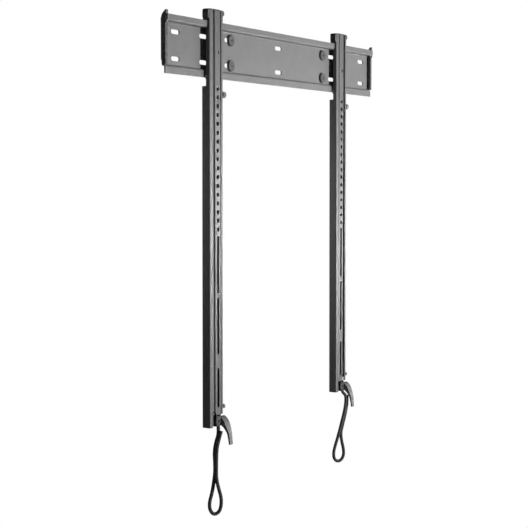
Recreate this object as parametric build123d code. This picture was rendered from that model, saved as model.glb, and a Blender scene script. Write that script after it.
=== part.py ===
from build123d import *
import os
from math import acos, radians, sin, cos, tan

os.makedirs("parts", exist_ok=True)

# Frame: X to the right, Y into the wall, Z up. The wall is the plane Y = 0 and the
# origin is the middle of the wall plate's rear face. All sizes are millimetres.

# Depth of the whole bracket, from the wall to the face of the uprights
DEPTH = 19.0

# Wall plate: one folded sheet with a forward rail along its top and one along its foot.
# Both rails keep their distance behind the face of the uprights.
PLATE_WIDTH = 798.0
PLATE_SHEET = 2.5
TOP_LEDGE_Z = 41.25
TOP_LIP_Z = 53.0
TOP_LIP_BEHIND = 5.0
TOP_LIP_FRONT = TOP_LIP_BEHIND - DEPTH
LOW_LEDGE_Z = -38.5
LOW_LIP_Z = -52.5
LOW_LIP_BEHIND = 11.0
LOW_LIP_FRONT = LOW_LIP_BEHIND - DEPTH
LEDGE_FLAT = 0.7
PLATE_BEND = (-LOW_LIP_FRONT - PLATE_SHEET - LEDGE_FLAT) / 2
WALL_SLOT_WIDTH = 8.5
WALL_SLOT_LENGTH = 26.0
WALL_SLOT_ROW = 24.3
WALL_SLOT_END = 39.0
WALL_SLOT_X = (0.0, 186.0, 222.5, 270.5, PLATE_WIDTH / 2 - WALL_SLOT_END)

# Stop screws: broad round heads on the web, one shank in the end of each inner slot
STOP_X = 180.0
STOP_HEAD_D = 22.0
STOP_HEAD_H = 4.6
STOP_SHANK_D = 8.3
STOP_RIM = 1.2
STOP_SOCKET = 4.0
STOP_SOCKET_DEPTH = 2.5
STOP_SHANK_END = -0.3

# End caps of the wall plate
CAP_LENGTH = 7.0
CAP_WALL = 2.0
CAP_FRONT = -10.0
CAP_FOOT_Z = -37.0
CAP_TONGUE_Z = 60.5

# Uprights: an outer channel that hooks on the rails and a front strip with the screw holes
UPRIGHT_X = {"left": -247.0, "right": 241.0}
CHANNEL_SHIFT = {"left": -4.0, "right": -1.0}
LEAN_DEG = {"left": 0.12, "right": -0.25}
LEAN_Z = 46.0
CHANNEL_WIDTH = 45.5
CHANNEL_SHEET = 2.5
CHANNEL_BEND = 1.7
CHANNEL_REAR = -0.2
CHANNEL_TOP = 73.5
CHANNEL_TOP_R = 7.0
CHANNEL_FOOT = -716.5
LIP_LEFT = 12.6
LIP_RIGHT = 15.8
LIP_REAR = -DEPTH + CHANNEL_SHEET
WALL_FACE = CHANNEL_WIDTH / 2
WALL_INNER = WALL_FACE - CHANNEL_SHEET

# Hook profile of the channel walls at the rails, with a lug for the latch pin
BACK_TOP_Z = -68.5
BACK_TOP_R = 3.0
WALL_LIP_GAP = 2.5
WALL_AT_RAILS = LOW_LIP_FRONT - WALL_LIP_GAP
LUG_HALF = 4.0
LUG_SLOPE = 3.0
LEDGE_GAP = 1.6
LIP_GAP = 1.0
HOOK_REST = 0.2
HOOK_LEG_Z = 46.0
HOOK_LEG_REAR = -3.5

# Front strip, a shallow folded section between the channel lips, with one flange behind the left lip.
# The ends of its long slots are measured from its foot.
STRIP_SHEET = 2.0
STRIP_HALF = 9.9
STRIP_FLANGE = 17.5
STRIP_BEND = 1.3
STRIP_GAP = 0.3
STRIP_TOP = CHANNEL_TOP - STRIP_GAP
STRIP_ABOVE_FOOT = 22.5
STRIP_FOOT = CHANNEL_FOOT + STRIP_ABOVE_FOOT
STRIP_END_R = 7.0
HOLE_D = 8.5
HOLE_PITCH = 50.0 / 3.0
HOLE_FIRST_Z = -72.0
HOLE_COUNT = 17
HOLE_EXTRA_Z = HOLE_FIRST_Z + 4 * HOLE_PITCH
STRIP_SLOT_WIDTH = 7.0
STRIP_SLOTS = ((343.7, 233.8), (225.8, 115.4), (90.4, 13.7))
STRIP_REAR = LIP_REAR + STRIP_GAP + STRIP_SHEET

# Top cap of the upright: a plug with a broad head that ends in round ears
TOP_CAP_EAR = 5.0
TOP_CAP_LOW = 55.0
TOP_CAP_HEAD_LOW = 65.0
TOP_CAP_LEFT_LOW = 57.0
TOP_CAP_TOP = 76.0
TOP_CAP_CROWN = 1.2
TOP_CAP_FRONT = -18.3
TOP_CAP_REAR = -6.0
TOP_CAP_R = 4.5

# Guide blocks with their side screws
BLOCK_X = 1.5
BLOCK_REAR = STRIP_REAR + 5.8
BLOCK_HEIGHT = 9.0
SCREW_Y = (STRIP_REAR + BLOCK_REAR) / 2
KNOB_Z = -82.0
BOLT_Z = STRIP_FOOT + 12.0
SCREW_D = 4.0
SCREW_GAP = 0.1
SCREW_IN_X = 8.0
SCREW_NECK_D = 7.5
SCREW_NECK = 4.0
KNOB_D = 12.5
KNOB_OUT = 14.5
BOLT_D = 8.6
BOLT_OUT = 13.0

# Latch behind the lower rail
LATCH_GAP = 0.3
LATCH_Z = -50.0
LATCH_HALF = 6.0
LATCH_BOSS_R = 2.4
LATCH_Y = STRIP_REAR + LATCH_BOSS_R + LATCH_GAP
LATCH_NOSE_GAP = 0.8
LATCH_REAR = CHANNEL_REAR - 1.0
LATCH_LIP_GAP = 1.4
LATCH_PIN_R = 1.25
LATCH_PIN_GAP = 0.05
LATCH_PIN_OUT = 1.2
LATCH_PIN_HEAD_R = 2.4
SPRING_MEAN_R = 1.95
SPRING_WIRE_R = 0.35
SPRING_TURNS = 3
SPRING_GAP = 0.6

# Pull rod, cord clamp and cord
ROD_HALF = 4.0
ROD_SHEET = 2.0
ROD_GAP = 0.4
ROD_FRONT = BLOCK_REAR + ROD_GAP
ROD_REAR = ROD_FRONT + ROD_SHEET
ROD_TOP = -63.5
ROD_FOOT = CHANNEL_FOOT + 10.5
CLAMP_LEFT = -7.0
CLAMP_RIGHT = WALL_FACE - 13.0
CLAMP_FRONT = -22.5
CLAMP_GAP = 1.6
CLAMP_TOP = STRIP_FOOT - CLAMP_GAP
CLAMP_FOOT = CHANNEL_FOOT + 1.5
CORD_D = 7.0
CORD_X = 4.5
CORD_Y = -19.0
CORD_TURN = 35.0

# Claw lever at the foot of the upright. Its outlines are measured from its pivot.
LEVER_Y = -9.0
LEVER_ABOVE_FOOT = 12.5
LEVER_Z = CHANNEL_FOOT + LEVER_ABOVE_FOOT
LEVER_BOSS_R = 4.5
LEVER_PIN_R = 2.0
LEVER_PIN_GAP = 0.05
LEVER_PIN_HEAD = 1.5
LEVER_IN = WALL_FACE - 12.2
LEVER_OUT = WALL_FACE + 4.5
LEVER_TIP_WIDTH = 8.5
LEVER_TAPER = 1.5
LEVER_GAP = 0.4
LEVER_BACK = ((-8.0, 6.0), (-15.8, 1.5), (-22.0, -8.5), (-26.4, -23.0), (-29.4, -46.0))
LEVER_TIP = (-28.4, -48.7)
LEVER_BELLY = ((-26.4, -48.2), (-23.0, -29.0), (-18.6, -18.6), (-12.0, -11.5))
LEVER_CUT_Y = LEVER_Y - 4.0
LEVER_CUT_Z = LEVER_Z + 10.0
LEVER_WINDOW_Y = -11.0
LEVER_WINDOW_Z = LEVER_CUT_Z + 6.5


def block(x0, x1, y0, y1, z0, z1):
    """Box between two corners."""
    middle = Pos((x0 + x1) / 2, (y0 + y1) / 2, (z0 + z1) / 2)
    return middle * Box(abs(x1 - x0), abs(y1 - y0), abs(z1 - z0))


def round_x(y, z, radius, x0, x1):
    """Cylinder along X."""
    return Pos((x0 + x1) / 2, y, z) * Rot(0, 90, 0) * Cylinder(radius, abs(x1 - x0))


def round_y(x, z, radius, y0, y1):
    """Cylinder along Y."""
    return Pos(x, (y0 + y1) / 2, z) * Rot(90, 0, 0) * Cylinder(radius, abs(y1 - y0))


def slab_x(sketch, x0, x1):
    """Sketch drawn in Y and Z, pushed along X from x0 to x1."""
    return extrude(Plane.YZ.offset(x0) * sketch, amount=x1 - x0)


def slab_y(sketch, y0, y1):
    """Sketch drawn in X and Z, pushed along Y from y0 to y1."""
    return extrude(Plane.XZ.offset(-y0) * sketch, amount=y0 - y1)


def polygon(points):
    return make_face(Polyline(*points, close=True))


def folded(points, bend, sheet):
    """Section of a folded sheet around its middle line."""
    return trace(FilletPolyline(*points, radius=bend), line_width=sheet)


def slot_cut(x, z, length, width, upright):
    """Cutter for a round-ended slot through a sheet that faces the front."""
    shape = SlotOverall(length, width, rotation=90 if upright else 0)
    return slab_y(Pos(x, z) * shape, 5.0, -40.0)


def plate_section():
    half = PLATE_SHEET / 2
    points = [
        (TOP_LIP_FRONT + half, TOP_LIP_Z),
        (TOP_LIP_FRONT + half, TOP_LEDGE_Z),
        (-half, TOP_LEDGE_Z),
        (-half, LOW_LEDGE_Z),
        (LOW_LIP_FRONT + half, LOW_LEDGE_Z),
        (LOW_LIP_FRONT + half, LOW_LIP_Z),
    ]
    return folded(points, PLATE_BEND, PLATE_SHEET)


def wall_plate():
    plate = slab_x(plate_section(), -PLATE_WIDTH / 2, PLATE_WIDTH / 2)
    for x in WALL_SLOT_X:
        for side in ((1,) if x == 0 else (-1, 1)):
            for row in (-1, 1):
                plate -= slot_cut(side * x, row * WALL_SLOT_ROW, WALL_SLOT_LENGTH, WALL_SLOT_WIDTH, False)
    return plate


def stop_screws():
    """Four screws: a thick round head with a rounded rim, a socket and a plain shank."""
    screws = []
    front = -PLATE_SHEET - STOP_HEAD_H
    for side in (-1, 1):
        for row in (-1, 1):
            x = side * STOP_X
            z = row * WALL_SLOT_ROW
            head = round_y(x, z, STOP_HEAD_D / 2, front, -PLATE_SHEET)
            rim = head.edges().filter_by(GeomType.CIRCLE).sort_by(Axis.Y)[0]
            head = chamfer(rim, STOP_RIM)
            hexagon = Pos(x, z) * RegularPolygon(STOP_SOCKET / 2, 6)
            socket = slab_y(hexagon, front - 1, front + STOP_SOCKET_DEPTH)
            shank = round_y(x, z, STOP_SHANK_D / 2, -PLATE_SHEET, STOP_SHANK_END)
            screws.append((head - socket) + shank)
    return Compound(children=screws)


def end_cap(side):
    """Moulded cap over one end of the plate, with a tongue standing behind the top lip."""
    ledge_top = TOP_LEDGE_Z + PLATE_SHEET / 2
    lip_rear = TOP_LIP_FRONT + PLATE_SHEET
    outline = [
        (0.0, CAP_FOOT_Z + 9.0),
        (-5.0, CAP_FOOT_Z),
        (CAP_FRONT, CAP_FOOT_Z),
        (CAP_FRONT, 34.0),
        (lip_rear - 1.5, ledge_top - PLATE_SHEET),
        (lip_rear - 1.5, ledge_top),
        (lip_rear, ledge_top),
        (lip_rear, CAP_TONGUE_Z - 1.0),
        (lip_rear + 1.0, CAP_TONGUE_Z),
        (-3.0, CAP_TONGUE_Z - 7.0),
        (0.0, ledge_top + 3.0),
    ]
    inner = PLATE_WIDTH / 2 + CAP_WALL - CAP_LENGTH
    body = slab_x(polygon(outline), inner, PLATE_WIDTH / 2 + CAP_WALL)
    body -= slab_x(plate_section(), 0, PLATE_WIDTH / 2)
    return body if side > 0 else mirror(body, about=Plane.YZ)


def top_outline(low):
    """Front outline of the upright's head: round upper corners above a straight foot."""
    outline = Pos(0, (CHANNEL_TOP + low) / 2) * Rectangle(CHANNEL_WIDTH, CHANNEL_TOP - low)
    return fillet(outline.vertices().sort_by(Axis.Y)[2:], CHANNEL_TOP_R)


def channel():
    """C-shaped channel. Its back ends under the plate and its walls form the hook on the rails."""
    middle = WALL_FACE - CHANNEL_SHEET / 2
    front = -DEPTH + CHANNEL_SHEET / 2
    rear = CHANNEL_REAR - CHANNEL_SHEET / 2
    points = [(LIP_RIGHT, front), (middle, front), (middle, rear)]
    points += [(-middle, rear), (-middle, front), (-LIP_LEFT, front)]
    section = folded(points, CHANNEL_BEND, CHANNEL_SHEET)
    body = extrude(Plane.XY.offset(CHANNEL_FOOT) * section, amount=CHANNEL_TOP - CHANNEL_FOOT)
    body = body & slab_y(top_outline(CHANNEL_FOOT), 5, -DEPTH - 5)

    half = PLATE_SHEET / 2
    top_ledge_low = TOP_LEDGE_Z - half
    lip_rear = TOP_LIP_FRONT + PLATE_SHEET
    lug = LOW_LIP_FRONT - LIP_GAP
    hook = [
        (6.0, BACK_TOP_Z),
        (WALL_AT_RAILS, BACK_TOP_Z),
        (WALL_AT_RAILS, LATCH_Z - LUG_HALF - LUG_SLOPE),
        (lug, LATCH_Z - LUG_HALF),
        (lug, LATCH_Z + LUG_HALF),
        (WALL_AT_RAILS, LATCH_Z + LUG_HALF + LUG_SLOPE),
        (WALL_AT_RAILS, top_ledge_low - LEDGE_GAP),
        (TOP_LIP_FRONT - LIP_GAP, top_ledge_low - LEDGE_GAP),
        (TOP_LIP_FRONT - LIP_GAP, TOP_LIP_Z + HOOK_REST),
        (lip_rear + LIP_GAP, TOP_LIP_Z + HOOK_REST),
        (lip_rear + LIP_GAP, HOOK_LEG_Z),
        (HOOK_LEG_REAR, HOOK_LEG_Z),
        (HOOK_LEG_REAR, CHANNEL_TOP + 6.0),
        (6.0, CHANNEL_TOP + 6.0),
    ]
    cutter = polygon(hook)
    corners = cutter.vertices().filter_by(lambda v: v.X < 0 and v.Y < CHANNEL_TOP)
    cutter = fillet(corners, 1.2)
    body -= slab_x(cutter, -CHANNEL_WIDTH, CHANNEL_WIDTH)
    corner_y = CHANNEL_REAR - BACK_TOP_R
    corner_z = BACK_TOP_Z - BACK_TOP_R
    corner = Pos(corner_y, corner_z) * Rectangle(BACK_TOP_R, BACK_TOP_R, align=Align.MIN)
    corner -= Pos(corner_y, corner_z) * Circle(BACK_TOP_R)
    body -= slab_x(corner, -CHANNEL_WIDTH, CHANNEL_WIDTH)

    body -= block(LEVER_IN - 1, CHANNEL_WIDTH, -DEPTH - 5, LEVER_CUT_Y, CHANNEL_FOOT - 5, LEVER_CUT_Z)
    body -= block(WALL_INNER - 1, CHANNEL_WIDTH, LIP_REAR, LEVER_WINDOW_Y, LEVER_CUT_Z - 1, LEVER_WINDOW_Z)
    for z in (KNOB_Z, BOLT_Z):
        body -= round_x(SCREW_Y, z, SCREW_D / 2 + SCREW_GAP, WALL_INNER - 2, CHANNEL_WIDTH)
    body -= round_x(LATCH_Y, LATCH_Z, LATCH_PIN_R, -CHANNEL_WIDTH, CHANNEL_WIDTH)
    body -= round_x(LEVER_Y, LEVER_Z, LEVER_PIN_R, 0, CHANNEL_WIDTH)
    return body


def strip():
    """Folded strip with the screw holes and the long slots."""
    front = -DEPTH + STRIP_SHEET / 2
    side = STRIP_HALF - STRIP_SHEET / 2
    rear = STRIP_REAR - STRIP_SHEET / 2
    points = [(-STRIP_FLANGE, rear), (-side, rear), (-side, front), (side, front), (side, STRIP_REAR)]
    section = folded(points, STRIP_BEND, STRIP_SHEET)
    body = extrude(Plane.XY.offset(STRIP_FOOT) * section, amount=STRIP_TOP - STRIP_FOOT)
    outline = Pos(0, (STRIP_TOP + STRIP_FOOT) / 2) * Rectangle(2 * STRIP_HALF, STRIP_TOP - STRIP_FOOT)
    outline = fillet(outline.vertices().sort_by(Axis.Y)[:2], STRIP_END_R)
    flange = block(-STRIP_FLANGE, 0, STRIP_REAR - STRIP_SHEET, STRIP_REAR, STRIP_FOOT + STRIP_END_R, STRIP_TOP)
    body = body & (slab_y(outline, 0, -DEPTH - 5) + flange)
    heights = [HOLE_FIRST_Z - n * HOLE_PITCH for n in range(HOLE_COUNT)] + [HOLE_EXTRA_Z]
    for z in heights:
        body -= round_y(0, z, HOLE_D / 2, -DEPTH - 5, 0)
    for top, foot in STRIP_SLOTS:
        body -= slot_cut(0, STRIP_FOOT + (top + foot) / 2, top - foot, STRIP_SLOT_WIDTH, True)
    return body


def top_cap(channel_body):
    """Plug in the head of the channel. Its crowned head ends in round ears, the left one taller."""
    half = WALL_FACE + TOP_CAP_EAR
    shoulder = TOP_CAP_TOP - TOP_CAP_CROWN
    edges = [
        ThreePointArc((-half, shoulder), (0, TOP_CAP_TOP), (half, shoulder)),
        Line((half, shoulder), (half, TOP_CAP_HEAD_LOW)),
        Line((half, TOP_CAP_HEAD_LOW), (0, TOP_CAP_HEAD_LOW)),
        Line((0, TOP_CAP_HEAD_LOW), (0, TOP_CAP_LEFT_LOW)),
        Line((0, TOP_CAP_LEFT_LOW), (-half, TOP_CAP_LEFT_LOW)),
        Line((-half, TOP_CAP_LEFT_LOW), (-half, shoulder)),
    ]
    head = make_face(edges)
    head = fillet(head.vertices().filter_by(lambda v: abs(v.X) > 1), TOP_CAP_R)
    body = slab_y(head, TOP_CAP_REAR, TOP_CAP_FRONT)
    body += block(-WALL_FACE, WALL_FACE, TOP_CAP_FRONT, TOP_CAP_REAR, TOP_CAP_LOW, TOP_CAP_HEAD_LOW + 1)
    body -= channel_body
    body -= block(-WALL_INNER, WALL_INNER, -DEPTH - 5, STRIP_REAR, 0, CHANNEL_TOP)
    return body.solids().sort_by(SortBy.VOLUME)[-1]


def guide_block(z):
    """Block between the strip and the right wall, threaded for the side screw. The rod slides behind it."""
    body = block(BLOCK_X, WALL_INNER, STRIP_REAR, BLOCK_REAR, z - BLOCK_HEIGHT / 2, z + BLOCK_HEIGHT / 2)
    body -= round_x(SCREW_Y, z, SCREW_D / 2 + SCREW_GAP, SCREW_IN_X - 0.5, CHANNEL_WIDTH)
    return body


def side_screw(z, head_d, out, flutes):
    """Screw with a round head on a neck beside the right wall. The hand knob has flutes around its rim."""
    start = WALL_FACE + SCREW_NECK
    end = WALL_FACE + out
    head = round_x(SCREW_Y, z, head_d / 2, start, end)
    head = chamfer(head.edges().filter_by(GeomType.CIRCLE), 1.0)
    for n in range(flutes):
        turn = radians(360.0 * n / flutes)
        at_y = SCREW_Y + head_d / 2 * cos(turn)
        at_z = z + head_d / 2 * sin(turn)
        head -= round_x(at_y, at_z, 0.9, start - 1, end + 1)
    neck = round_x(SCREW_Y, z, SCREW_NECK_D / 2, WALL_FACE, start)
    return head + neck + round_x(SCREW_Y, z, SCREW_D / 2, SCREW_IN_X, WALL_FACE)


def latch():
    """Hook plate that reaches under the lower lip and stands up behind it."""
    nose = LOW_LIP_FRONT + PLATE_SHEET + LATCH_NOSE_GAP
    under = LOW_LIP_Z - LATCH_LIP_GAP
    foot = LATCH_Z - 12.4
    rear = LATCH_REAR
    points = [
        (LATCH_Y - 1.8, LATCH_Z - 1.5),
        (rear - 2.8, foot),
        (rear, foot),
        (rear, LATCH_Z + 3.2),
        (rear - 1.7, LATCH_Z + 4.2),
        (nose, LATCH_Z + 1.5),
        (nose, under),
        (LATCH_Y + 2.6, under),
        (LATCH_Y + 2.0, LATCH_Z - 1.0),
    ]
    shape = polygon(points)
    shape += Pos(LATCH_Y, LATCH_Z) * Circle(LATCH_BOSS_R)
    shape -= Pos(LATCH_Y, LATCH_Z) * Circle(LATCH_PIN_R + LATCH_PIN_GAP)
    shape -= Pos(rear - 2.3, foot + 3.4) * Circle(1.2)
    return slab_x(shape, -LATCH_HALF, LATCH_HALF)


def latch_pin():
    reach = WALL_FACE + LATCH_PIN_OUT
    pin = round_x(LATCH_Y, LATCH_Z, LATCH_PIN_R, -reach, reach)
    for side in (-1, 1):
        pin += round_x(LATCH_Y, LATCH_Z, LATCH_PIN_HEAD_R, side * WALL_FACE, side * reach)
    return pin


def latch_spring():
    """Torsion coil on the latch pin, beside the latch."""
    pitch = 2 * SPRING_WIRE_R + 0.25
    coil = Helix(pitch, pitch * SPRING_TURNS, SPRING_MEAN_R)
    wire = sweep(Plane(origin=coil @ 0, z_dir=coil % 0) * Circle(SPRING_WIRE_R), path=coil)
    start = LATCH_HALF + SPRING_GAP + SPRING_WIRE_R
    return Pos(start, LATCH_Y, LATCH_Z) * Rot(0, 90, 0) * wire


def pull_rod():
    """Flat bar from the latch down to the cord clamp, with an eye at its head."""
    rod = block(-ROD_HALF, ROD_HALF, ROD_FRONT, ROD_REAR, ROD_FOOT, ROD_TOP)
    rod -= round_y(0, ROD_TOP - 4.0, 1.3, ROD_FRONT - 1, ROD_REAR + 1)
    return rod


def cord_clamp():
    """Clamp block on the rod. The cord's end sits on its underside."""
    body = block(CLAMP_LEFT, CLAMP_RIGHT, CLAMP_FRONT, ROD_FRONT, CLAMP_FOOT, CLAMP_TOP)
    edges = body.edges().filter_by(Axis.Z).group_by(Axis.Y)[0]
    body = fillet(edges, 2.5)
    middle = (CLAMP_LEFT + CLAMP_RIGHT) / 2
    body -= round_y(middle, (CLAMP_TOP + CLAMP_FOOT) / 2, 2.2, CLAMP_FRONT - 1, CLAMP_FRONT + 3.0)
    return body


# Cord routes: sideways along the view plane, height below the clamp, distance behind that plane
ROUTE = {
    "left": (
        (0.0, 0.0, 0.0),
        (1.2, -15.0, 0.0),
        (-5.0, -32.0, 0.0),
        (-8.2, -51.0, 0.0),
        (-7.0, -70.0, 0.0),
        (-6.8, -90.0, 0.0),
        (-9.4, -110.0, 0.0),
        (-13.0, -130.0, 0.0),
        (-18.6, -148.0, 0.0),
        (-18.0, -162.0, -0.2),
        (-10.4, -172.4, -0.8),
        (0.4, -169.0, -1.6),
        (5.0, -156.0, -2.6),
        (4.4, -139.0, -3.8),
        (-1.6, -121.0, -5.6),
        (-6.8, -101.0, -7.2),
        (-6.8, -82.0, -7.2),
        (-6.4, -62.0, -7.2),
        (-5.8, -43.0, -7.2),
        (-1.4, -25.0, -7.2),
        (3.6, -9.5, -7.2),
    ),
    "right": (
        (0.0, 0.0, 0.0),
        (2.4, -6.0, 0.0),
        (9.4, -11.0, 0.0),
        (10.0, -26.0, 0.0),
        (6.8, -46.0, 0.0),
        (1.6, -65.0, 0.0),
        (-4.2, -86.0, 0.0),
        (-10.4, -107.0, 0.0),
        (-17.4, -127.0, 0.0),
        (-20.8, -142.0, 0.0),
        (-18.4, -155.0, 0.3),
        (-10.0, -161.0, 1.0),
        (0.2, -158.4, 2.0),
        (6.8, -147.5, 3.2),
        (6.4, -133.0, 4.4),
        (2.6, -116.0, 6.0),
        (0.8, -98.0, 7.2),
        (5.4, -80.0, 7.2),
        (10.8, -61.0, 7.2),
        (14.6, -44.0, 7.2),
        (16.8, -28.0, 7.2),
        (16.4, -13.0, 7.2),
    ),
}


def cord_points(name):
    """Route of one cord as points in the part's frame."""
    x0 = UPRIGHT_X[name] + CHANNEL_SHIFT[name] + CORD_X + (CLAMP_FOOT - LEAN_Z) * tan(radians(LEAN_DEG[name]))
    along = (cos(radians(CORD_TURN)), -sin(radians(CORD_TURN)))
    points = []
    for s, z, n in ROUTE[name]:
        x = x0 + s * along[0] - n * along[1]
        y = CORD_Y + s * along[1] + n * along[0]
        points.append((x, y, CLAMP_FOOT + z))
    return points


def cord(name):
    """Braided cord: down from the clamp, round the hand loop and up beside itself to its cut end."""
    points = [Vector(*p) for p in cord_points(name)]
    radii = []
    for before, at, after in zip(points, points[1:], points[2:]):
        run_in = at - before
        run_out = after - at
        turn = acos(run_in.normalized().dot(run_out.normalized()))
        radii.append(0.45 * min(run_in.length, run_out.length) / tan(turn / 2))
    path = FilletPolyline(*points, radius=radii)
    print(name, "cord length", round(path.length, 1), "radii", [round(r, 1) for r in radii])
    return sweep(Plane(origin=path @ 0, z_dir=path % 0) * Circle(CORD_D / 2), path=path)


def lever():
    """Broad claw that leaves its boss inside the wall, passes in front of it and curves forward and down."""
    back = [(LEVER_Y + y, LEVER_Z + z) for y, z in LEVER_BACK]
    belly = [(LEVER_Y + y, LEVER_Z + z) for y, z in LEVER_BELLY]
    tip = (LEVER_Y + LEVER_TIP[0], LEVER_Z + LEVER_TIP[1])
    heel = (LEVER_Y, LEVER_Z + LEVER_BOSS_R)
    foot = (LEVER_Y, LEVER_Z - LEVER_BOSS_R)
    edges = [
        Line(heel, back[0]),
        Spline(*back),
        ThreePointArc(back[-1], tip, belly[0]),
        Spline(*belly),
        Line(belly[-1], foot),
        Line(foot, heel),
    ]
    shape = make_face(edges) + Pos(LEVER_Y, LEVER_Z) * Circle(LEVER_BOSS_R)
    body = slab_x(shape, LEVER_IN, LEVER_OUT)

    front = LEVER_CUT_Y - LEVER_GAP
    below = tip[1] - 10
    over = heel[1] + 2
    wall_room = [(front, below), (front, LEVER_Z - 1), (front - 4, over), (10, over), (10, below)]
    body -= slab_x(polygon(wall_room), WALL_INNER - LEVER_GAP, LEVER_OUT + 1)

    shoulder = foot[1] - 4
    right = LEVER_OUT - LEVER_TAPER
    left = right - LEVER_TIP_WIDTH
    far_right = LEVER_OUT + 9
    far_left = LEVER_IN - 9
    tapers = [
        [(LEVER_OUT, shoulder), (right, below), (far_right, below), (far_right, shoulder)],
        [(LEVER_IN, shoulder), (left - 1.5, shoulder - 18), (left, below)],
    ]
    tapers[1] += [(far_left, below), (far_left, shoulder)]
    for taper in tapers:
        body -= slab_y(polygon(taper), 0, -60)
    body -= round_x(LEVER_Y, LEVER_Z, LEVER_PIN_R + LEVER_PIN_GAP, 0, CHANNEL_WIDTH)
    return body


def lever_pin():
    pin = round_x(LEVER_Y, LEVER_Z, LEVER_PIN_R, LEVER_IN, WALL_FACE + LEVER_PIN_HEAD)
    return pin + round_x(LEVER_Y, LEVER_Z, LEVER_PIN_R + 1.5, WALL_FACE, WALL_FACE + LEVER_PIN_HEAD)


def placed(shape, name, lean):
    """Move a piece to its upright. The channel and what it carries stand aside and lean a little."""
    place = Pos(UPRIGHT_X[name], 0, 0)
    if lean:
        place = place * Pos(CHANNEL_SHIFT[name], 0, LEAN_Z) * Rot(0, LEAN_DEG[name], 0) * Pos(0, 0, -LEAN_Z)
    return place * shape


nodes = {
    "wall_plate": wall_plate(),
    "stop_screws": stop_screws(),
    "end_cap_left": end_cap(-1),
    "end_cap_right": end_cap(1),
}
channel_body = channel()
strip_body = strip()
leaning = {
    "channel": channel_body,
    "top_cap": top_cap(channel_body),
    "upper_block": guide_block(KNOB_Z),
    "lower_block": guide_block(BOLT_Z),
    "side_knob": side_screw(KNOB_Z, KNOB_D, KNOB_OUT, 10),
    "side_bolt": side_screw(BOLT_Z, BOLT_D, BOLT_OUT, 0),
    "latch": latch(),
    "latch_pin": latch_pin(),
    "latch_spring": latch_spring(),
    "pull_rod": pull_rod(),
    "cord_clamp": cord_clamp(),
    "lever": lever(),
    "lever_pin": lever_pin(),
}
for name in UPRIGHT_X:
    nodes[f"strip_{name}"] = placed(strip_body, name, False)
    nodes[f"cord_{name}"] = cord(name)
    for piece, shape in leaning.items():
        nodes[f"{piece}_{name}"] = placed(shape, name, True)

for node, shape in nodes.items():
    export_step(shape, f"parts/{node}.step")
print(len(nodes), "nodes")
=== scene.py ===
from math import atan2, cos, radians, sin, tan
import bpy
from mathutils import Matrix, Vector


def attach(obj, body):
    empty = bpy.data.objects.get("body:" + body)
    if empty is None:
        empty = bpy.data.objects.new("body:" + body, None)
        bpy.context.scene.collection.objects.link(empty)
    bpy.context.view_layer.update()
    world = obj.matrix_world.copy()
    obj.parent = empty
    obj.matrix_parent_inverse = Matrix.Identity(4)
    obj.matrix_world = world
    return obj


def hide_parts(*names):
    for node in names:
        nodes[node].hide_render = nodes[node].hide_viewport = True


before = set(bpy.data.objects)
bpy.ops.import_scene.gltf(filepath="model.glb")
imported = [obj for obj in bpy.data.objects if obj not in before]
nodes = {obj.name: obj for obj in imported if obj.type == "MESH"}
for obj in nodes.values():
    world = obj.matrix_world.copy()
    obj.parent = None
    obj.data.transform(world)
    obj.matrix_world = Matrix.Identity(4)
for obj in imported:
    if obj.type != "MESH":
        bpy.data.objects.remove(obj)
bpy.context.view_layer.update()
scene = bpy.context.scene

# All sizes are metres in the part's frame: X right, Y into the wall, Z up

# Camera at the photo's angle
CAMERA_AT = (-2.3035, -1.4061, -0.2427)
CAMERA_YAW = radians(58.018)
CAMERA_PITCH = radians(-3.726)
CAMERA_LENS = 88.91
CAMERA_SENSOR = 36.0
CAMERA_NEAR = 0.05
CAMERA_FAR = 60.0

# Studio: strength of the surroundings from below and from above, and the floor
WHITE = (1.0, 1.0, 1.0, 1.0)
SKY_BELOW = 0.12
SKY_ABOVE = 0.03
FLOOR_HALF = 6.0
FLOOR_LEVEL = -1.6
FLOOR_DARK = (0.78, 0.78, 0.78)
FLOOR_LIGHT = (0.82, 0.82, 0.82)
FLOOR_ROUGHNESS = 0.8

# Lights: power in watts, and reach as the radius around the target where the beam fades out
SMALL = (0.3, 0.3)
LIGHTS = {
    "key": dict(place=(1.75, -4.1, -0.85), target=(0.3, 0.0, -0.05),
                size=SMALL, power=19.3, reach=2.0),
    "gloss_left": dict(place=(2.35, -1.85, -0.33), target=(-0.25, 0.0, -0.33),
                       size=SMALL, power=0.25, reach=0.41),
    "gloss_right": dict(place=(2.35, -1.17, -0.57), target=(0.24, 0.0, -0.43),
                        size=SMALL, power=0.19, reach=0.43),
    "low": dict(place=(2.3, -1.2, -1.1), target=(0.2, 0.0, 0.06),
                size=SMALL, power=0.38, reach=0.6),
    "rim_left": dict(place=(-2.1, 1.3, 0.0), target=(-0.25, 0.0, -0.3),
                     size=(0.5, 0.8), power=1.0),
    "rim_right": dict(place=(-1.6, 1.3, 0.0), target=(0.22, 0.0, -0.4),
                      size=SMALL, power=0.16, reach=0.45),
    "back": dict(place=(1.3, 3.2, 0.6), target=(0.0, 0.0, -0.3),
                 size=(1.6, 1.6), power=55.0),
}

# Tones of the plated steel and of the cord, and the strands of its braid
ZINC_DARK = (0.30, 0.30, 0.31)
ZINC_LIGHT = (0.46, 0.46, 0.47)
CORD_DARK = (0.015, 0.015, 0.015)
CORD_LIGHT = (0.090, 0.090, 0.091)
STRANDS_ALONG = 64.0
STRANDS_AROUND = 6.0
STRAND_FOLD = 0.5

# Rounded edges of the moulded pieces
WELD_GAP = 0.000002
EDGE_ANGLE = radians(40.0)
EDGE_SEGMENTS = 2
TOP_CAP_EDGE = 0.0016
CLAMP_EDGE = 0.0008
END_CAP_EDGE = 0.0008

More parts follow.
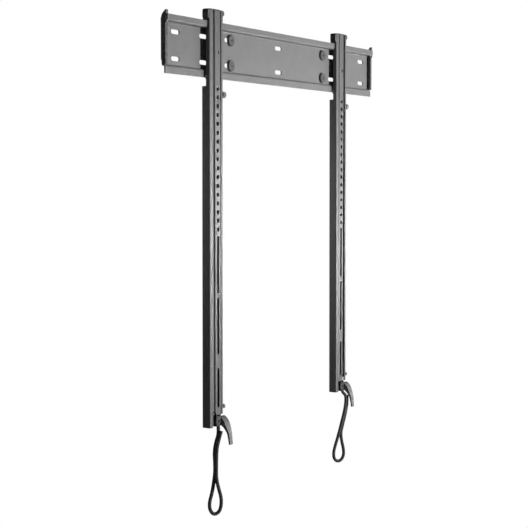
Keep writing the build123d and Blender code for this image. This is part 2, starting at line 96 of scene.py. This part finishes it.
# Uprights, and the place where each cord leaves its clamp
UPRIGHT_X = {"left": -0.247, "right": 0.241}
CHANNEL_SHIFT = {"left": -0.004, "right": -0.001}
LEAN_DEG = {"left": 0.12, "right": -0.25}
LEAN_Z = 0.046
CORD_X = 0.0045
CORD_Y = -0.019
CORD_Z = -0.715
CORD_TURN = radians(35.0)
CORD_DIAMETER = 0.007
CORD_ROUNDNESS = 6
CORD_STEPS = 14
CORD_ORDER = 3

# Cord routes: sideways in a plane turned by CORD_TURN, height from the clamp's exit,
# distance behind that plane
ROUTE = {
    "left": (
        (0.0, 0.0, 0.0),
        (0.0012, -0.015, 0.0),
        (-0.005, -0.032, 0.0),
        (-0.0082, -0.051, 0.0),
        (-0.007, -0.07, 0.0),
        (-0.0068, -0.09, 0.0),
        (-0.0094, -0.11, 0.0),
        (-0.013, -0.13, 0.0),
        (-0.0186, -0.148, 0.0),
        (-0.018, -0.162, -0.0002),
        (-0.0104, -0.1724, -0.0008),
        (0.0004, -0.169, -0.0016),
        (0.005, -0.156, -0.0026),
        (0.0044, -0.139, -0.0038),
        (-0.0016, -0.121, -0.0056),
        (-0.0068, -0.101, -0.0072),
        (-0.0068, -0.082, -0.0072),
        (-0.0064, -0.062, -0.0072),
        (-0.0058, -0.043, -0.0072),
        (-0.0014, -0.025, -0.0072),
        (0.0036, -0.0095, -0.0072),
    ),
    "right": (
        (0.0, 0.0, 0.0),
        (0.0024, -0.006, 0.0),
        (0.0094, -0.011, 0.0),
        (0.01, -0.026, 0.0),
        (0.0068, -0.046, 0.0),
        (0.0016, -0.065, 0.0),
        (-0.0042, -0.086, 0.0),
        (-0.0104, -0.107, 0.0),
        (-0.0174, -0.127, 0.0),
        (-0.0208, -0.142, 0.0),
        (-0.0184, -0.155, 0.0003),
        (-0.01, -0.161, 0.001),
        (0.0002, -0.1584, 0.002),
        (0.0068, -0.1475, 0.0032),
        (0.0064, -0.133, 0.0044),
        (0.0026, -0.116, 0.006),
        (0.0008, -0.098, 0.0072),
        (0.0054, -0.08, 0.0072),
        (0.0108, -0.061, 0.0072),
        (0.0146, -0.044, 0.0072),
        (0.0168, -0.028, 0.0072),
        (0.0164, -0.013, 0.0072),
    ),
}


def set_camera():
    data = bpy.data.cameras.new("photo_camera")
    data.lens = CAMERA_LENS
    data.sensor_width = CAMERA_SENSOR
    data.clip_start = CAMERA_NEAR
    data.clip_end = CAMERA_FAR
    camera = bpy.data.objects.new("photo_camera", data)
    scene.collection.objects.link(camera)
    camera.location = CAMERA_AT
    look = Vector((
        sin(CAMERA_YAW) * cos(CAMERA_PITCH),
        cos(CAMERA_YAW) * cos(CAMERA_PITCH),
        sin(CAMERA_PITCH),
    ))
    camera.rotation_mode = "QUATERNION"
    camera.rotation_quaternion = look.to_track_quat("-Z", "Y")
    scene.camera = camera


def cord_points(name):
    """Route of one cord as points in the part's frame."""
    lean = (CORD_Z - LEAN_Z) * tan(radians(LEAN_DEG[name]))
    x0 = UPRIGHT_X[name] + CHANNEL_SHIFT[name] + CORD_X + lean
    along_x = cos(CORD_TURN)
    along_y = -sin(CORD_TURN)
    points = []
    for s, z, n in ROUTE[name]:
        x = x0 + s * along_x - n * along_y
        y = CORD_Y + s * along_y + n * along_x
        points.append((x, y, CORD_Z + z))
    return points


def make_cord(name, material):
    """Cord as a curve with the route's points as control points."""
    points = cord_points(name)
    data = bpy.data.curves.new(f"cord_{name}_curve", "CURVE")
    data.dimensions = "3D"
    data.bevel_depth = CORD_DIAMETER / 2
    data.bevel_resolution = CORD_ROUNDNESS
    data.use_fill_caps = True
    data.resolution_u = CORD_STEPS
    line = data.splines.new("NURBS")
    line.points.add(len(points) - 1)
    for point, place in zip(line.points, points):
        point.co = (*place, 1.0)
    line.order_u = CORD_ORDER
    line.use_endpoint_u = True
    line.use_smooth = True
    data.materials.append(material)
    cord = bpy.data.objects.new(f"pull_cord_{name}", data)
    scene.collection.objects.link(cord)
    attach(cord, f"pull_{name}")
    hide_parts(f"cord_{name}")


class Shader:
    """A material with its principled shader and short ways to add nodes."""

    def __init__(self, name):
        self.material = bpy.data.materials.new(name)
        self.material.use_nodes = True
        self.tree = self.material.node_tree
        self.bsdf = self.tree.nodes["Principled BSDF"]

    def add(self, kind, **values):
        node = self.tree.nodes.new(kind)
        for key, value in values.items():
            setattr(node, key, value)
        return node

    def link(self, source, target):
        self.tree.links.new(source, target)

    def noise(self, scale, detail):
        where = self.add("ShaderNodeTexCoord")
        node = self.add("ShaderNodeTexNoise")
        node.inputs["Scale"].default_value = scale
        node.inputs["Detail"].default_value = detail
        self.link(where.outputs["Object"], node.inputs["Vector"])
        return node.outputs["Fac"]

    def colour(self, value, dark, light, low=0.3, high=0.7):
        """Base colour between two tones."""
        node = self.add("ShaderNodeValToRGB")
        first, last = node.color_ramp.elements
        first.position = low
        first.color = (*dark, 1.0)
        last.position = high
        last.color = (*light, 1.0)
        self.link(value, node.inputs["Fac"])
        self.link(node.outputs["Color"], self.bsdf.inputs["Base Color"])

    def roughness(self, value, low, high):
        """Roughness between two values."""
        node = self.add("ShaderNodeMapRange")
        node.inputs["To Min"].default_value = low
        node.inputs["To Max"].default_value = high
        self.link(value, node.inputs["Value"])
        self.link(node.outputs["Result"], self.bsdf.inputs["Roughness"])

    def bump(self, height, strength, distance):
        node = self.add("ShaderNodeBump")
        node.inputs["Strength"].default_value = strength
        node.inputs["Distance"].default_value = distance
        self.link(height, node.inputs["Height"])
        self.link(node.outputs["Normal"], self.bsdf.inputs["Normal"])


def powder_coat(name, dark, light, gloss):
    """Satin powder coat: fine orange peel, faint mottling and a little change of gloss."""
    shader = Shader(name)
    mottle = shader.noise(scale=38.0, detail=5.0)
    sheen = shader.noise(scale=160.0, detail=3.0)
    peel = shader.noise(scale=900.0, detail=2.0)
    shader.colour(mottle, dark, light)
    shader.roughness(sheen, low=gloss - 0.02, high=gloss + 0.03)
    shader.bump(peel, strength=0.01, distance=0.0002)
    return shader.material


def moulded_black(name, dark, light, gloss):
    """Black plastic with a fine eroded surface."""
    shader = Shader(name)
    mottle = shader.noise(scale=180.0, detail=3.0)
    sheen = shader.noise(scale=90.0, detail=2.0)
    grain = shader.noise(scale=1200.0, detail=3.0)
    shader.colour(mottle, dark, light, low=0.4, high=0.6)
    shader.roughness(sheen, low=gloss - 0.06, high=gloss + 0.08)
    shader.bump(grain, strength=0.25, distance=0.0003)
    return shader.material


def zinc_plate(name):
    """Plated steel of the inner pieces."""
    shader = Shader(name)
    mottle = shader.noise(scale=60.0, detail=6.0)
    sheen = shader.noise(scale=400.0, detail=3.0)
    grain = shader.noise(scale=1500.0, detail=2.0)
    shader.colour(mottle, ZINC_DARK, ZINC_LIGHT)
    shader.roughness(sheen, low=0.28, high=0.42)
    shader.bump(grain, strength=0.08, distance=0.0001)
    shader.bsdf.inputs["Metallic"].default_value = 1.0
    return shader.material


def braid(name):
    """Braided black cord: two crossing sets of strands around the tube."""
    shader = Shader(name)
    where = shader.add("ShaderNodeTexCoord")
    split = shader.add("ShaderNodeSeparateXYZ")
    shader.link(where.outputs["UV"], split.inputs["Vector"])
    heights = []
    for turn in (-1.0, 1.0):
        along = shader.add("ShaderNodeMath", operation="MULTIPLY")
        along.inputs[1].default_value = STRANDS_ALONG
        shader.link(split.outputs["X"], along.inputs[0])
        around = shader.add("ShaderNodeMath", operation="MULTIPLY_ADD")
        around.inputs[1].default_value = STRANDS_AROUND * turn
        shader.link(split.outputs["Y"], around.inputs[0])
        shader.link(along.outputs["Value"], around.inputs[2])
        wave = shader.add("ShaderNodeMath", operation="PINGPONG")
        wave.inputs[1].default_value = STRAND_FOLD
        shader.link(around.outputs["Value"], wave.inputs[0])
        heights.append(wave.outputs["Value"])
    cross = shader.add("ShaderNodeMath", operation="MAXIMUM")
    shader.link(heights[0], cross.inputs[0])
    shader.link(heights[1], cross.inputs[1])
    fuzz = shader.noise(scale=900.0, detail=2.0)
    shader.colour(cross.outputs["Value"], CORD_DARK, CORD_LIGHT, low=0.1, high=0.5)
    shader.roughness(fuzz, low=0.62, high=0.82)
    shader.bump(cross.outputs["Value"], strength=0.7, distance=0.0006)
    return shader.material


def dress(material, *names):
    """Give CAD nodes their material."""
    for name in names:
        node = nodes[name]
        node.data.materials.clear()
        node.data.materials.append(material)


def soften(name, width):
    """Small rounded edges on a piece."""
    node = nodes[name]
    weld = node.modifiers.new("weld", "WELD")
    weld.merge_threshold = WELD_GAP
    edge = node.modifiers.new("edge", "BEVEL")
    edge.width = width
    edge.segments = EDGE_SEGMENTS
    edge.limit_method = "ANGLE"
    edge.angle_limit = EDGE_ANGLE


def area_light(name, place, target, size, power, reach=None):
    """Soft light. With a reach, its beam fades out at that distance around the target."""
    aim = Vector(target) - Vector(place)
    data = bpy.data.lights.new(name, "AREA")
    data.shape = "RECTANGLE"
    data.size, data.size_y = size
    data.energy = power
    if reach:
        data.spread = 2 * atan2(reach, aim.length)
    light = bpy.data.objects.new(name, data)
    scene.collection.objects.link(light)
    light.location = place
    light.rotation_mode = "QUATERNION"
    light.rotation_quaternion = aim.to_track_quat("-Z", "Y")
    light.visible_camera = False


def white_to_camera(tree, shader_socket, output_socket, white):
    """Show plain white to the camera and the given shader to every other ray."""
    path = tree.nodes.new("ShaderNodeLightPath")
    mix = tree.nodes.new("ShaderNodeMixShader")
    tree.links.new(path.outputs["Is Camera Ray"], mix.inputs["Fac"])
    tree.links.new(shader_socket, mix.inputs[1])
    tree.links.new(white, mix.inputs[2])
    tree.links.new(mix.outputs["Shader"], output_socket)


def set_world():
    """Dim surroundings, lighter from below, and white to the camera."""
    world = bpy.data.worlds.new("studio")
    scene.world = world
    world.use_nodes = True
    tree = world.node_tree
    dim = tree.nodes["Background"]
    where = tree.nodes.new("ShaderNodeTexCoord")
    split = tree.nodes.new("ShaderNodeSeparateXYZ")
    fade = tree.nodes.new("ShaderNodeMapRange")
    fade.inputs["From Min"].default_value = -1.0
    fade.inputs["To Min"].default_value = SKY_BELOW
    fade.inputs["To Max"].default_value = SKY_ABOVE
    tree.links.new(where.outputs["Generated"], split.inputs["Vector"])
    tree.links.new(split.outputs["Z"], fade.inputs["Value"])
    tree.links.new(fade.outputs["Result"], dim.inputs["Strength"])
    dim.inputs["Color"].default_value = WHITE
    white = tree.nodes.new("ShaderNodeBackground")
    white.inputs["Color"].default_value = WHITE
    white.inputs["Strength"].default_value = 1.0
    surface = tree.nodes["World Output"].inputs["Surface"]
    white_to_camera(tree, dim.outputs["Background"], surface, white.outputs["Background"])


def set_floor():
    """Pale floor well under the cords, white to the camera."""
    corners = [
        (-FLOOR_HALF, -FLOOR_HALF, FLOOR_LEVEL),
        (FLOOR_HALF, -FLOOR_HALF, FLOOR_LEVEL),
        (FLOOR_HALF, FLOOR_HALF, FLOOR_LEVEL),
        (-FLOOR_HALF, FLOOR_HALF, FLOOR_LEVEL),
    ]
    mesh = bpy.data.meshes.new("floor")
    mesh.from_pydata(corners, [], [(0, 1, 2, 3)])
    floor = bpy.data.objects.new("floor", mesh)
    scene.collection.objects.link(floor)
    shader = Shader("pale_floor")
    shader.colour(shader.noise(scale=3.0, detail=2.0), FLOOR_DARK, FLOOR_LIGHT)
    shader.bsdf.inputs["Roughness"].default_value = FLOOR_ROUGHNESS
    glow = shader.add("ShaderNodeEmission")
    surface = shader.tree.nodes["Material Output"].inputs["Surface"]
    white_to_camera(shader.tree, shader.bsdf.outputs["BSDF"], surface, glow.outputs["Emission"])
    mesh.materials.append(shader.material)


set_camera()
scene.view_settings.view_transform = "Standard"
set_world()
set_floor()
for light_name, settings in LIGHTS.items():
    area_light(light_name, **settings)

grey = powder_coat("grey_coat", (0.164, 0.161, 0.162), (0.182, 0.179, 0.180), 0.44)
upright = powder_coat("upright_coat", (0.119, 0.117, 0.118), (0.133, 0.131, 0.132), 0.44)
# Levers: about twice the tone of the upright coat, which is painted light that brightens their
# shaded left faces
lever_painted_light_coat = powder_coat("lever_coat", (0.22, 0.22, 0.22), (0.26, 0.26, 0.26), 0.44)
screw = powder_coat("screw_coat", (0.082, 0.082, 0.084), (0.110, 0.110, 0.112), 0.36)
knob = powder_coat("knob_coat", (0.13, 0.13, 0.132), (0.16, 0.16, 0.162), 0.40)
black = moulded_black("black_cap", (0.010, 0.010, 0.011), (0.050, 0.050, 0.051), 0.50)
# End and top caps: lighter than the other black plastic, partly the caps' own dark grey and
# partly painted light for the lit left end cap
cap = moulded_black("cap_black_partly_painted_light", (0.055, 0.055, 0.056), (0.115, 0.115, 0.116), 0.48)
zinc = zinc_plate("zinc")
cord_material = braid("cord")

dress(grey, "wall_plate")
dress(screw, "stop_screws")
for side in UPRIGHT_X:
    dress(cap, f"end_cap_{side}", f"top_cap_{side}")
    dress(upright, f"channel_{side}", f"strip_{side}")
    dress(lever_painted_light_coat, f"lever_{side}")
    dress(knob, f"side_bolt_{side}", f"side_knob_{side}")
    dress(black, f"upper_block_{side}", f"lower_block_{side}", f"cord_clamp_{side}")
    dress(zinc, f"latch_{side}", f"latch_pin_{side}", f"latch_spring_{side}")
    dress(zinc, f"pull_rod_{side}", f"lever_pin_{side}")
    soften(f"end_cap_{side}", END_CAP_EDGE)
    soften(f"top_cap_{side}", TOP_CAP_EDGE)
    soften(f"cord_clamp_{side}", CLAMP_EDGE)
    make_cord(side, cord_material)
